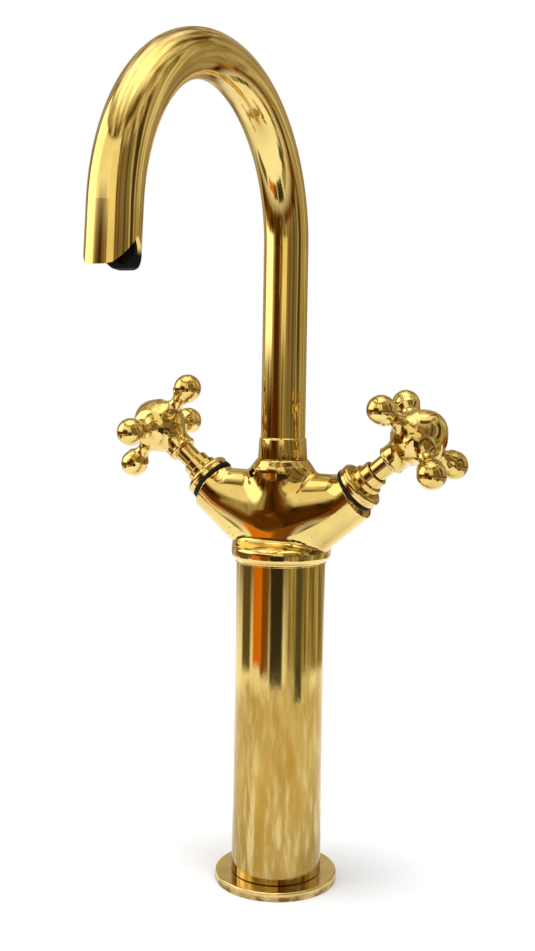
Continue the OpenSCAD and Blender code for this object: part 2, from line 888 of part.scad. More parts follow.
// Perforated plate that straightens the flow
module outlet_grid() {
    grid_r = sleeve_ri - seat_fit;
    grid_pitch = grid_hole_d * 1.35;
    color(black_plastic)
        at_outlet()
            translate([0, 0, sleeve_s + 1])
                difference() {
                    cylinder(r = grid_r, h = grid_t);
                    for (ring_no = [0 : 2])
                        for (i = [0 : max(6 * ring_no - 1, 0)])
                            rotate([0, 0, i * 60 / max(ring_no, 1)])
                                translate([ring_no * grid_pitch, 0, -over])
                                    cylinder(d = grid_hole_d, h = grid_t + 2 * over, $fn = 24);
                }
}

module outlet_washer() {
    color(rubber)
        at_outlet()
            translate([0, 0, sleeve_s - outlet_washer_t])
                ring(sleeve_ro, sleeve_ri, outlet_washer_t);
}

// Both sides of what each valve repeats

module hot_bonnet() {
    on_arm(hot_side)
        bonnet();
}

module cold_bonnet() {
    on_arm(cold_side)
        bonnet();
}

module hot_arm_ring() {
    on_arm(hot_side)
        arm_ring();
}

module cold_arm_ring() {
    on_arm(cold_side)
        arm_ring();
}

module hot_seat_seal() {
    on_arm(hot_side)
        seat_seal();
}

module cold_seat_seal() {
    on_arm(cold_side)
        seat_seal();
}

module hot_fixed_disc() {
    on_arm(hot_side)
        fixed_disc();
}

module cold_fixed_disc() {
    on_arm(cold_side)
        fixed_disc();
}

module hot_handle() {
    on_arm(hot_side)
        handle(hot_twist);
}

module cold_handle() {
    on_arm(cold_side)
        handle(cold_twist);
}

module hot_spindle() {
    on_arm(hot_side)
        spindle();
}

module cold_spindle() {
    on_arm(cold_side)
        spindle();
}

module hot_moving_disc() {
    on_arm(hot_side)
        moving_disc();
}

module cold_moving_disc() {
    on_arm(cold_side)
        moving_disc();
}

module hot_spindle_oring() {
    on_arm(hot_side)
        spindle_oring();
}

module cold_spindle_oring() {
    on_arm(cold_side)
        spindle_oring();
}

module hot_grub_screw() {
    on_arm(hot_side)
        handle_screw();
}

module cold_grub_screw() {
    on_arm(cold_side)
        handle_screw();
}

base_flange();
base_gasket();
column();
base_plug();
valve_body();
swivel_washer();
swivel_screw();
hot_bonnet();
hot_arm_ring();
hot_seat_seal();
hot_fixed_disc();
cold_bonnet();
cold_arm_ring();
cold_seat_seal();
cold_fixed_disc();
spout_tube();
spout_collar();
spout_spigot();
spigot_orings();
outlet_sleeve();
outlet_grid();
outlet_washer();
hot_handle();
hot_spindle();
hot_moving_disc();
hot_spindle_oring();
hot_grub_screw();
cold_handle();
cold_spindle();
cold_moving_disc();
cold_spindle_oring();
cold_grub_screw();
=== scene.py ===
"""Looks of the tall basin tap: finer castings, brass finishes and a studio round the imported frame."""
import json
import math

import bpy
import numpy as np
from mathutils import Matrix, Vector


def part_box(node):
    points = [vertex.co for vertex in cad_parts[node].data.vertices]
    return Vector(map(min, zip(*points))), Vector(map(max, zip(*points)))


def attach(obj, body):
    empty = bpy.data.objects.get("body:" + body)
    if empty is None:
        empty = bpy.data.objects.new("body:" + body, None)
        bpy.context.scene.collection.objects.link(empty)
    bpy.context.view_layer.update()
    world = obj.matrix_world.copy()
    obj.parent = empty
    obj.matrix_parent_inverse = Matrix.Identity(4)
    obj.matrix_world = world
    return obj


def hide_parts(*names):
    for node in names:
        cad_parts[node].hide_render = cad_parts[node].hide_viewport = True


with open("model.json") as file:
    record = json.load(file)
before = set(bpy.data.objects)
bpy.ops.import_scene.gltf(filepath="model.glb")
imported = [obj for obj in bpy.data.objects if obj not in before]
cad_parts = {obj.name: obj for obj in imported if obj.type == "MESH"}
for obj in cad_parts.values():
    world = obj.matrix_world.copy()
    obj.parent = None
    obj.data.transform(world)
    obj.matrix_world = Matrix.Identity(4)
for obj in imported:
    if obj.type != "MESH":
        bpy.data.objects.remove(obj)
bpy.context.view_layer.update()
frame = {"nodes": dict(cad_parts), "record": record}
nodes = frame["nodes"]
scene = bpy.context.scene
MM = 0.001


def edge_of(node, side, axis):
    """Low (0) or high (1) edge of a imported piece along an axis, in millimetres."""
    return round(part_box(node)[side][axis] / MM, 2)


# Sizes of the castings in millimetres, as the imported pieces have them

# Body: its lip, at JOINT_Z, sits on the column, and the neck's rim, at NECK_TOP, carries the spout
UP = (0, 0, 1)
JOINT_Z = edge_of("valve_body", 0, 2)
NECK_TOP = edge_of("valve_body", 1, 2)
SOCKET_R = 20.65
SOCKET_TOP = 160.1
LIP_R = 22.0
LIP_TALL = 1.3
CUP_R = 22.1
CUP_TOP = 162.4
CUP_EDGE = 4
SHOULDER_TOP = 196.0
RIM_R = 11.3
RIM_TALL = 24
RIM_EDGE = 1
DOME_R = 14.2
DOME_TAPER = 4.5
DOME_TAPER_TALL = 24
NECK_BORE_R = 7.55
NECK_BORE_LOW = 188
SCREW_HOLE_R = 2.0
SCREW_DROP = 7.4

# Body's arms, rising from ARM_Z on the middle axis, and how they swell and round off where they meet
ARM_Z = JOINT_Z + 4.8
ARM_SLOPE = math.radians(40)
ARM_R = 12.1
ARM_L = 49.0
VALVE_BORE_R = 8.5
VALVE_BORE_LOW = 27
FLARE_L = 30
CENTRE_BULGE = 2.9
MIDDLE_ROUND = 3
MIDDLE_LIFT = 1.2
MIDDLE_HALF = 6

# Handles: HUB_S and CROSS_S are the hub's end and the cross's centre along the body's arm
HUB_S = 71.8
CROSS_S = 90.0
HUB_R = 7.0
HUB_BORE_R = 3.95
HUB_BORE_L = 13.5
GRUB_SCREW_RISE = 5
CROSS_R = 8.8
CAP_R = 9.8
CAP_RISE = 5.2
BALL_R = 6.8
BALL_REACH = 26.0
HOT_TWIST = math.radians(-5)
COLD_TWIST = math.radians(48)

# Each handle arm has a waist: a hollow of radius WAIST_HOLLOW goes round it and touches its ball
WAIST_R = 3.3
WAIST_HOLLOW = 9.0
HOLLOW_Q = WAIST_R + WAIST_HOLLOW
HOLLOW_S = BALL_REACH - math.sqrt((WAIST_HOLLOW + BALL_R) ** 2 - HOLLOW_Q ** 2)
FLARE_Q = HOLLOW_Q * BALL_R / (WAIST_HOLLOW + BALL_R)
WAIST_END = 21.5

# Holes are cut this far past the faces that they open in
PAST = 9

# Spaces that hold the castings, and the cells of their meshes
BODY_SPACE = (-47, -25, 152), (47, 25, 203)
HANDLE_SPACE = (-33, -33, -19), (33, 33, 15.5)
BODY_CELL = 0.5
HANDLE_CELL = 0.45


# Shapes as distances, in millimetres, negative inside

def merge(a, b, blend):
    """Union of two shapes with a fillet of about the given size."""
    share = np.clip(0.5 + 0.5 * (b - a) / blend, 0, 1)
    return b * (1 - share) + a * share - blend * share * (1 - share)


def carve(a, b, blend=0.02):
    """Shape a without shape b."""
    return -merge(-a, b, blend)


def along(p, start, direction):
    """Height along an axis and distance from it."""
    d = np.array(direction, float)
    d = d / np.linalg.norm(d)
    q = p - np.array(start, float)
    h = q @ d
    r = np.sqrt(np.maximum((q * q).sum(-1) - h * h, 0))
    return h, r


def box2(a, b):
    """Distance to a corner formed by two signed distances."""
    return np.minimum(np.maximum(a, b), 0) + np.hypot(np.maximum(a, 0), np.maximum(b, 0))


def rod(h, r, low, high, radius):
    """Round bar between two heights."""
    return box2(r - radius, np.abs(h - (low + high) / 2) - (high - low) / 2)


def ball(p, centre, radius):
    return np.linalg.norm(p - np.array(centre, float), axis=-1) - radius


def bead(h, r, height, flat, reach, section):
    """Rounded ring round an axis: its height, the flat band on it, its outer reach and its rounding."""
    out = np.maximum(r - (reach - section), 0)
    return np.hypot(out, np.maximum(np.abs(h - height) - flat / 2, 0)) - section


def flared_arms(p):
    """The two arms in one: round at their ends, taller and thicker towards the middle of the Y."""
    # Distance from the middle, rounded off where the arms meet
    lift = MIDDLE_LIFT * np.exp(-(p[..., 0] / MIDDLE_HALF) ** 2)
    x = np.sqrt(p[..., 0] ** 2 + MIDDLE_ROUND ** 2) - MIDDLE_ROUND + lift
    rise = math.tan(ARM_SLOPE)
    half = ARM_R / math.cos(ARM_SLOPE)
    under = ARM_Z - half + rise * x
    over = ARM_Z + half + rise * x
    over = -merge(-over, np.full_like(over, -SHOULDER_TOP), blend=3)
    middle = (under + over) / 2
    tall = (over - under) / 2
    inner = np.clip(1 - x / FLARE_L, 0, 1)
    deep = ARM_R + CENTRE_BULGE * inner * inner * (3 - 2 * inner)
    # The last factor keeps the value near a true distance on the oval sections
    return (np.hypot((p[..., 2] - middle) / tall, p[..., 1] / deep) - 1) * deep * 0.9


def neck_shape(h, r):
    """Plain rim under the spout, on a dome that spreads into the shoulders and tapers away inside them."""
    rim = box2(r - RIM_R, np.abs(h - NECK_TOP + RIM_TALL / 2) - RIM_TALL / 2 + RIM_EDGE) - RIM_EDGE
    taper = DOME_TAPER * np.clip((SHOULDER_TOP - h) / DOME_TAPER_TALL, 0, 1)
    dome = bead(h, r + taper, height=NECK_TOP - 16.4, flat=23.0, reach=DOME_R, section=4.2)
    return merge(rim, dome, blend=2)


def body_shape(p):
    """The Y shaped casting with its sockets and bores."""
    h, r = along(p, (0, 0, 0), UP)
    d = merge(flared_arms(p), neck_shape(h, r), blend=6)
    from_cup = np.abs(h - (JOINT_Z + CUP_TOP) / 2) - (CUP_TOP - JOINT_Z) / 2
    d = merge(d, box2(r - CUP_R + CUP_EDGE, from_cup + CUP_EDGE) - CUP_EDGE, blend=3.5)
    d = np.maximum(d, h - NECK_TOP)
    d = merge(d, bead(h, r, height=JOINT_Z + 4.9, flat=2.0, reach=23.9, section=2.4), blend=2.2)
    d = merge(d, rod(h, r, JOINT_Z, JOINT_Z + LIP_TALL, LIP_R) - 0.1, blend=0.3)
    d = np.maximum(d, JOINT_Z - h)
    for side in (-1, 1):
        # Square end with a small chamfer, cut only at the arm's end, and the valve's bore
        s, q = along(p, (0, 0, ARM_Z), (side * math.cos(ARM_SLOPE), 0, math.sin(ARM_SLOPE)))
        chamfer = (s - ARM_L + q - ARM_R + 0.6) * math.sqrt(0.5)
        d = np.where(s > ARM_L - 8, np.maximum(d, np.maximum(s - ARM_L, chamfer)), d)
        d = carve(d, rod(s, q, VALVE_BORE_LOW, ARM_L + PAST, VALVE_BORE_R))
    d = carve(d, rod(h, r, JOINT_Z - PAST, SOCKET_TOP, SOCKET_R))
    d = carve(d, rod(h, r, NECK_BORE_LOW, NECK_TOP + PAST, NECK_BORE_R))
    y, q = along(p, (0, 0, NECK_TOP - SCREW_DROP), (0, 1, 0))
    return carve(d, rod(y, q, 5, 30, SCREW_HOLE_R), blend=0.15)


def handle_shape(p):
    """One cross handle on its own axis, hub towards -Z, centre of the cross at the origin."""
    h, r = along(p, (0, 0, 0), UP)
    low = HUB_S - CROSS_S
    d = merge(ball(p, (0, 0, 0), CROSS_R), ball(p, (0, 0, CAP_RISE), CAP_R), blend=3)
    d = merge(d, rod(h, r, low + 1, 0, HUB_R), blend=7)
    for quarter in range(4):
        a = math.pi / 2 * quarter
        s, q = along(p, (0, 0, 0), (math.cos(a), math.sin(a), 0))
        hollow = WAIST_HOLLOW - np.hypot(s - HOLLOW_S, q - HOLLOW_Q)
        root = np.maximum(hollow, rod(s, q, 4, WAIST_END, HUB_R))
        flare = np.maximum(hollow, rod(s, q, 4, WAIST_END, FLARE_Q))
        knob = ball(p, (BALL_REACH * math.cos(a), BALL_REACH * math.sin(a), 0), BALL_R)
        d = merge(d, merge(np.where(s > HOLLOW_S, flare, root), knob, blend=2.5), blend=7)
    d = merge(d, bead(h, r, height=low + 1.1, flat=0, reach=HUB_R + 0.3, section=1.1), blend=0.4)
    d = np.maximum(d, low - h)
    d = carve(d, rod(h, r, low - PAST, low + HUB_BORE_L, HUB_BORE_R))
    y, q = along(p, (0, 0, low + GRUB_SCREW_RISE), (0, 1, 0))
    return carve(d, rod(y, q, 2, 20, SCREW_HOLE_R), blend=0.15)


# Meshes of those shapes

def sampled(shape, axes):
    """The shape's distances on a grid."""
    field = np.empty([len(a) for a in axes], np.float32)
    yz = np.stack(np.meshgrid(axes[1], axes[2], indexing="ij"), -1)
    for i, x in enumerate(axes[0]):
        field[i] = shape(np.concatenate([np.full(yz.shape[:2] + (1,), x), yz], -1))
    return field


def crossed_cells(field):
    """A point, measured in cells, for each cell that the surface cuts, and each cell's point number or -1."""
    cell = [n - 1 for n in field.shape]
    corner = {}
    inside = np.zeros(cell, np.int8)
    for k in np.ndindex(2, 2, 2):
        corner[k] = field[tuple(slice(a, a + n) for a, n in zip(k, cell))]
        inside += corner[k] < 0
    active = (inside > 0) & (inside < 8)
    point_sum = np.zeros(cell + [3])
    crossings = np.zeros(cell, np.int16)
    edges = [(k, m) for k in corner for m in corner
             if k < m and sum(abs(i - j) for i, j in zip(k, m)) == 1]
    for a, b in edges:
        va, vb = corner[a], corner[b]
        cross = ((va < 0) != (vb < 0)) & active
        t = np.where(cross, va / np.where(cross, va - vb, 1), 0)
        for axis in range(3):
            point_sum[..., axis] += np.where(cross, a[axis] + t * (b[axis] - a[axis]), 0)
        crossings += cross
    where = np.argwhere(active)
    number = np.full(cell, -1, np.int32)
    number[active] = np.arange(len(where))
    return where + point_sum[active] / np.maximum(crossings[active], 1)[:, None], number


def faces_across_edges(inside, number):
    """A four sided face across each edge of the grid that the surface cuts."""
    faces = []
    for axis in range(3):
        u, v = (axis + 1) % 3, (axis + 2) % 3
        change = -np.diff(inside.astype(np.int8), axis=axis)
        for sign in (1, -1):
            at = np.argwhere(change == sign)
            keep = ((at[:, u] > 0) & (at[:, v] > 0)
                    & (at[:, u] < number.shape[u]) & (at[:, v] < number.shape[v]))
            at = at[keep]
            loop = []
            for du, dv in ((-1, -1), (0, -1), (0, 0), (-1, 0)):
                q = at.copy()
                q[:, u] += du
                q[:, v] += dv
                loop.append(number[q[:, 0], q[:, 1], q[:, 2]])
            quad = np.stack(loop if sign == 1 else loop[::-1], -1)
            faces.append(quad[(quad >= 0).all(-1)])
    return np.concatenate(faces)


def skin(shape, space, step):
    """Mesh of a shape's surface, its points moved onto it: points, faces and exact normals."""
    axes = [np.arange(a - step, b + 1.5 * step, step) for a, b in zip(*space)]
    field = sampled(shape, axes)
    places, number = crossed_cells(field)
    faces = faces_across_edges(field < 0, number)
    points = np.array([a[0] for a in axes]) + places * step
    tiny = 0.02

    def slope_at(q):
        grad = np.stack([shape(q + e) - shape(q - e) for e in np.eye(3) * tiny], -1) / (2 * tiny)
        return grad / np.maximum((grad * grad).sum(-1, keepdims=True), 0.25)

    for turn in range(4):
        move = -shape(points)[:, None] * slope_at(points)
        length = np.linalg.norm(move, axis=-1, keepdims=True)
        points += move * np.minimum(1, 0.4 * step / np.maximum(length, 1e-9))
    normals = slope_at(points)
    normals /= np.maximum(np.linalg.norm(normals, axis=-1, keepdims=True), 1e-9)
    return points, faces, normals


def add_mesh(name, points, faces, normals=None, matrix=None):
    """Object made of points in millimetres, moved by the matrix."""
    if matrix is not None:
        turn = np.array(matrix.to_3x3())
        points = points @ turn.T + np.array(matrix.translation)
        normals = normals @ turn.T
    mesh = bpy.data.meshes.new(name)
    mesh.from_pydata((points * MM).tolist(), [], [list(map(int, f)) for f in faces])
    mesh.validate()
    mesh.shade_smooth()
    if normals is not None and len(mesh.vertices) == len(normals):
        mesh.normals_split_custom_set_from_vertices(normals.tolist())
    thing = bpy.data.objects.new(name, mesh)
    scene.collection.objects.link(thing)
    return thing


def arm_matrix(side, twist):
    """From a handle's own frame to its place on the arm."""
    turn = Matrix.Rotation(side * (math.pi / 2 - ARM_SLOPE), 4, "Y")
    return (Matrix.Translation((0, 0, ARM_Z)) @ turn
            @ Matrix.Translation((0, 0, CROSS_S)) @ Matrix.Rotation(twist, 4, "Z"))


def turned(name, profile, turns=96):
    """Turned piece round the tap's own axis, from a closed loop of (radius, height) points."""
    angle = np.linspace(0, 2 * math.pi, turns, endpoint=False)
    points = np.array([(r * math.cos(a), r * math.sin(a), h) for r, h in profile for a in angle])
    faces = []
    for k in range(len(profile)):
        here, after = k * turns, (k + 1) % len(profile) * turns
        for j in range(turns):
            i = (j + 1) % turns
            faces.append((here + j, here + i, after + i, after + j))
    return add_mesh(name, points, faces)


def rounded_sleeve(inner, low_r, high_r, low, high, low_edge, high_edge, steps=6):
    """Profile of a tapered sleeve with its outer edges rounded."""
    profile = [(inner, low)]
    turn = [math.pi / 2 * k / steps for k in range(steps + 1)]
    for a in turn:
        profile.append((low_r + low_edge * (math.sin(a) - 1), low + low_edge * (1 - math.cos(a))))
    for a in turn:
        profile.append((high_r + high_edge * (math.cos(a) - 1), high + high_edge * (math.sin(a) - 1)))
    profile.append((inner, high))
    return profile


body_casting = add_mesh("body_casting", *skin(body_shape, BODY_SPACE, BODY_CELL))
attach(body_casting, "tap_body")
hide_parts("valve_body")

handle_mesh = skin(handle_shape, HANDLE_SPACE, HANDLE_CELL)
handle_castings = []
for label, side, twist in (("hot", -1, HOT_TWIST), ("cold", 1, COLD_TWIST)):
    thing = add_mesh(label + "_cross_handle", *handle_mesh, arm_matrix(side, twist))
    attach(thing, label + "_valve")
    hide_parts(label + "_handle")
    handle_castings.append(thing)

sleeve = turned("spout_sleeve", rounded_sleeve(
    inner=10.85, low_r=11.95, high_r=11.45, low=NECK_TOP + 0.03, high=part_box("spout_collar")[1][2] / MM,
    low_edge=0.4, high_edge=1.1))
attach(sleeve, "spout")
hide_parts("spout_collar")


# Nodes of the materials

def feed(tree, socket, value):
    """Puts a number, a colour or another node's output into a socket."""
    if isinstance(value, bpy.types.NodeSocket):
        tree.links.new(value, socket)
    else:
        socket.default_value = (*value, 1) if isinstance(value, tuple) else value


def add_node(tree, kind, links=None, **values):
    """New node; values set its properties or sockets, links are outputs that feed it."""
    n = tree.nodes.new(kind)
    for key, value in values.items():
        if hasattr(n, key):
            setattr(n, key, value)
        else:
            n.inputs[key.replace("_", " ")].default_value = value
    for key, source in (links or {}).items():
        tree.links.new(source, n.inputs[key])
    return n


def empty_material(name):
    """Material, its node tree, and the socket that takes its shader."""
    m = bpy.data.materials.new(name)
    m.use_nodes = True
    m.node_tree.nodes.clear()
    out = m.node_tree.nodes.new("ShaderNodeOutputMaterial")
    return m, m.node_tree, out.inputs["Surface"]


def new_material(name, metallic):
    """Material, its node tree and its one shader."""
    m, tree, surface = empty_material(name)
    shader = add_node(tree, "ShaderNodeBsdfPrincipled", Metallic=metallic)
    tree.links.new(shader.outputs["BSDF"], surface)
    return m, tree, shader


def dress(tree, shader, colour, roughness, relief, strength, distance=0.001):
    """Colour, roughness and relief of a shader; the relief's distance is in metres."""
    bump = add_node(tree, "ShaderNodeBump", {"Height": relief}, Strength=strength, Distance=distance)
    tree.links.new(colour, shader.inputs["Base Color"])
    tree.links.new(roughness, shader.inputs["Roughness"])
    tree.links.new(bump.outputs["Normal"], shader.inputs["Normal"])


def places(tree, stretch=(1, 1, 1), shift=(0, 0, 0)):
    """Places on the object in metres, with each axis scaled and then moved."""
    coord = tree.nodes.new("ShaderNodeTexCoord")
    return add_node(tree, "ShaderNodeMapping", {"Vector": coord.outputs["Object"]},
                    Scale=stretch, Location=shift).outputs["Vector"]


def height_of(tree):
    """Height above the counter at each point, as the pieces are drawn in place."""
    return add_node(tree, "ShaderNodeSeparateXYZ", {"Vector": places(tree)}).outputs["Z"]


def calc(tree, operation, *terms):
    """Result of a math node; each term is a number or an output."""
    n = add_node(tree, "ShaderNodeMath", operation=operation)
    for socket, term in zip(n.inputs, terms):
        feed(tree, socket, term)
    return n.outputs[0]


def vector_calc(tree, operation, *vectors):
    """Single value worked out from vectors."""
    n = add_node(tree, "ShaderNodeVectorMath", operation=operation)
    for socket, vector in zip(n.inputs, vectors):
        tree.links.new(vector, socket)
    return n.outputs["Value"]


def between(tree, source, low, high, to_low=0.0, to_high=1.0):
    """A value moved smoothly from one span to another; each end is a number or an output."""
    n = add_node(tree, "ShaderNodeMapRange", {"Value": source}, interpolation_type="SMOOTHSTEP")
    for key, value in (("From Min", low), ("From Max", high), ("To Min", to_low), ("To Max", to_high)):
        feed(tree, n.inputs[key], value)
    return n.outputs["Result"]


def noise(tree, place, scale, detail=2.0):
    """Soft random pattern; the scale is in patches to the unit of the place."""
    n = add_node(tree, "ShaderNodeTexNoise", {"Vector": place}, Detail=detail)
    feed(tree, n.inputs["Scale"], scale)
    return n.outputs["Fac"]


def ramp(tree, source, stops):
    """Colours at the given values of the source, and blends between them."""
    n = add_node(tree, "ShaderNodeValToRGB", {"Fac": source})
    e = n.color_ramp.elements
    while len(e) < len(stops):
        e.new(0.5)
    for k, (at, colour) in enumerate(stops):
        e[k].position = at
        e[k].color = (*colour, 1)
    return n.outputs["Color"]


def mixed(tree, share, first, second, kind="RGBA"):
    """Mix of two colours, or of two values where the kind is FLOAT."""
    a, b, out = {"RGBA": (6, 7, 2), "FLOAT": (2, 3, 0)}[kind]
    n = add_node(tree, "ShaderNodeMix", data_type=kind)
    for key, value in ((0, share), (a, first), (b, second)):
        feed(tree, n.inputs[key], value)
    return n.outputs[out]


# Effects that several materials share

def effect(name, inputs):
    """New node group with the given kinds of inputs, its input and its output node."""
    g = bpy.data.node_groups.new(name, "ShaderNodeTree")
    for label, kind in inputs.items():
        g.interface.new_socket(name=label, in_out="INPUT", socket_type="NodeSocket" + kind)
    for label, kind in (("Color", "Color"), ("Roughness", "Float"), ("Height", "Float")):
        g.interface.new_socket(name=label, in_out="OUTPUT", socket_type="NodeSocket" + kind)
    return g, g.nodes.new("NodeGroupInput").outputs, g.nodes.new("NodeGroupOutput").inputs


def place_effect(tree, group, place, **values):
    """Outputs of a node group that is put in a material with its own values."""
    n = tree.nodes.new("ShaderNodeGroup")
    n.node_tree = group
    tree.links.new(place, n.inputs["Vector"])
    for key, value in values.items():
        feed(tree, n.inputs[key.replace("_", " ")], value)
    return n.outputs


def hand_polish_effect():
    """Uneven tint, cloudy gloss, slight waves and small dark casting pits of hand polished brass."""
    g, given, result = effect("hand polish", {
        "Vector": "Vector", "Dull Tint": "Color", "Bright Tint": "Color", "Least Roughness": "Float",
        "Most Roughness": "Float", "Cloud Scale": "Float", "Pit Depth": "Float"})
    place = given["Vector"]
    tint = between(g, noise(g, place, given["Cloud Scale"], 5.0), 0.34, 0.66)
    clean = mixed(g, tint, given["Dull Tint"], given["Bright Tint"])
    cloud = between(g, noise(g, place, 75.0, 6.0), 0.40, 0.70,
                    given["Least Roughness"], given["Most Roughness"])
    dots = add_node(g, "ShaderNodeTexVoronoi", {"Vector": place}, Scale=330.0)
    dent = between(g, dots.outputs["Distance"], 0.08, 0.20, 1.0, 0.0)
    patch = between(g, noise(g, place, 70.0), 0.52, 0.60, 0.0, given["Pit Depth"])
    pit = calc(g, "MULTIPLY", dent, patch)
    swell = noise(g, place, 55.0, 1.0)
    g.links.new(mixed(g, pit, clean, PIT), result["Color"])
    g.links.new(cloud, result["Roughness"])
    g.links.new(calc(g, "SUBTRACT", swell, pit), result["Height"])
    return g


def fine_grain_effect():
    """Speckled tint, gloss and relief of rubber, plastic, ceramic and bright steel."""
    g, given, result = effect("fine grain", {
        "Vector": "Vector", "Dark": "Color", "Light": "Color", "Roughness": "Float"})
    speck = noise(g, given["Vector"], 300.0, 3.0)
    swing = between(g, speck, 0.3, 0.7, 0.8, 1.2)
    g.links.new(mixed(g, between(g, speck, 0.3, 0.7), given["Dark"], given["Light"]), result["Color"])
    g.links.new(calc(g, "MULTIPLY", swing, given["Roughness"]), result["Roughness"])
    g.links.new(speck, result["Height"])
    return g


# Materials. Tints of the brass: dull and bright, those of wear and stains, a pale one that is partly painted
# reflection, a darker brown low on the foot, pits, and painted shade.

BRASS = (0.59, 0.43, 0.135), (0.72, 0.55, 0.20)
COLUMN_BRASS = (0.54, 0.38, 0.115), (0.68, 0.51, 0.17)
WORN_BRASS = (0.345, 0.215, 0.042), (0.43, 0.29, 0.075)
FOOT_BRASS = (0.72, 0.54, 0.22), (0.84, 0.66, 0.31)
PALE_WEAR_AND_REFLECTION = (0.64, 0.49, 0.21)
WORN_STAIN = (0.36, 0.19, 0.024)
FOOT_LOW_BROWN = (0.20, 0.10, 0.025)
PIT = (0.10, 0.055, 0.02)
# Painted shade in the seam at the column's foot, and in the spout's mouth
SEAM_SHADE = (0.03, 0.018, 0.006)
MOUTH_SHADE = (0.006, 0.005, 0.004)

# Lengths in metres: the tube's radius, the flange's top, and where the column's wear begins
TUBE_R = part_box("spout_tube")[1][0]
FOOT_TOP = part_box("base_flange")[1][2]
WEAR_TOP = 0.101
WEAR_RAGGED = 0.010

hand_polish = hand_polish_effect()
fine_grain = fine_grain_effect()


def hand_polished(tree, place, tints, least, most, clouds, pits=0.0):
    """Outputs of the hand polish: two tints, least and most roughness, scale of the clouds, depth of pits."""
    return place_effect(tree, hand_polish, place, Dull_Tint=tints[0], Bright_Tint=tints[1],
                        Least_Roughness=least, Most_Roughness=most, Cloud_Scale=clouds, Pit_Depth=pits)


def polished_brass(name, tints, least, most, wave, pits=0.0, streak=(1, 1, 1), shade_in_mouth=False):
    """Brass of one finish; the tube has it with painted shade in the mouth of the spout."""
    m, tree, shader = new_material(name, metallic=1.0)
    polish = hand_polished(tree, places(tree, streak), tints, least, most, 38.0, pits)
    colour = polish["Color"]
    if shade_in_mouth:
        # Painted shade: the tube's inner wall at the mouth is darkened nearly to black
        colour = mixed(tree, painted_mouth_shade(tree), colour, MOUTH_SHADE)
    dress(tree, shader, colour, polish["Roughness"], polish["Height"], wave)
    return m


def painted_mouth_shade(tree):
    """Painted shade: 1 on the tube's inner wall beside the black sleeve, where the wall faces the outlet's
    own axis.
    """
    low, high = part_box("outlet_sleeve")
    from_axis = places(tree, (1, 1, 0), (0, -(low[1] + high[1]) / 2, 0))
    normal = tree.nodes.new("ShaderNodeTexCoord").outputs["Normal"]
    facing = vector_calc(tree, "DOT_PRODUCT", from_axis, normal)
    inward = between(tree, facing, -0.4 * TUBE_R, -0.2 * TUBE_R, 1.0, 0.0)
    near = between(tree, vector_calc(tree, "LENGTH", from_axis), 1.2 * TUBE_R, 1.4 * TUBE_R, 1.0, 0.0)
    end = between(tree, height_of(tree), high[2] - 0.002, high[2], 1.0, 0.0)
    return calc(tree, "MULTIPLY", calc(tree, "MULTIPLY", inward, end), near)


def worn_column():
    """Mirror bright at the top, pale and brown streaks further down, the pale ones partly a painted
    reflection, and painted shade in the seam at the foot.
    """
    m, tree, shader = new_material("worn brass column", metallic=1.0)
    streaks = places(tree, (1, 1, 0.10))
    patches = places(tree, (1, 1, 0.30))
    level = height_of(tree)
    ragged = between(tree, noise(tree, patches, 120.0, 4.0), 0.25, 0.75, -WEAR_RAGGED, WEAR_RAGGED)
    height = calc(tree, "ADD", level, ragged)
    worn = between(tree, height, WEAR_TOP - 0.012, WEAR_TOP + 0.006, 1.0, 0.0)
    upper = hand_polished(tree, streaks, COLUMN_BRASS, 0.04, 0.12, 60.0)
    lower = hand_polished(tree, patches, WORN_BRASS, 0.05, 0.18, 95.0)
    # Pale streaks, most of all low down, partly pale wear and partly a painted reflection of the table, then
    # brown stains over them
    paleness_and_reflection = between(tree, height, 0.020, 0.070, 0.85, 0.35)
    grain = between(tree, noise(tree, places(tree, (1, 1, 0.16)), 400.0, 5.0), 0.42, 0.70, 0.0, paleness_and_reflection)
    pale = mixed(tree, grain, lower["Color"], PALE_WEAR_AND_REFLECTION)
    stain = between(tree, noise(tree, patches, 110.0, 3.0), 0.50, 0.68, 0.0, 0.60)
    brass = mixed(tree, worn, upper["Color"], mixed(tree, stain, pale, WORN_STAIN))
    # Painted shade in the seam where the column stands on the foot
    seam_shade = between(tree, level, FOOT_TOP + 0.0002, FOOT_TOP + 0.0006, 1.0, 0.0)
    roughness = mixed(tree, worn, upper["Roughness"], lower["Roughness"], "FLOAT")
    scratches = noise(tree, patches, 600.0)
    relief = calc(tree, "MULTIPLY_ADD", scratches, 0.4, upper["Height"])
    dress(tree, shader, mixed(tree, seam_shade, brass, SEAM_SHADE), roughness, relief, 0.03)
    return m


def foot_browner_low():
    """Softly polished flange, darker brown in blotches low on its outer edge."""
    m, tree, shader = new_material("brushed brass foot", metallic=1.0)
    place = places(tree)
    polish = hand_polished(tree, place, FOOT_BRASS, 0.10, 0.30, 90.0)
    edge = between(tree, height_of(tree), 0.0014, 0.0034, 1.0, 0.0)
    blotch = between(tree, noise(tree, place, 160.0, 4.0), 0.35, 0.62, 0.25, 1.0)
    colour = mixed(tree, calc(tree, "MULTIPLY", edge, blotch), polish["Color"], FOOT_LOW_BROWN)
    dress(tree, shader, colour, polish["Roughness"], polish["Height"], 0.03)
    return m


def plain_surface(name, dark, light, rough, metallic=0.0, gleam=0.5):
    """Rubber, plastic, ceramic or steel with a fine grain."""
    m, tree, shader = new_material(name, metallic)
    shader.inputs["Specular IOR Level"].default_value = gleam
    grain = place_effect(tree, fine_grain, places(tree), Dark=dark, Light=light, Roughness=rough)
    dress(tree, shader, grain["Color"], grain["Roughness"], grain["Height"], 0.1, 0.0003)
    return m


def paint(thing, m):
    thing.data.materials.clear()
    thing.data.materials.append(m)


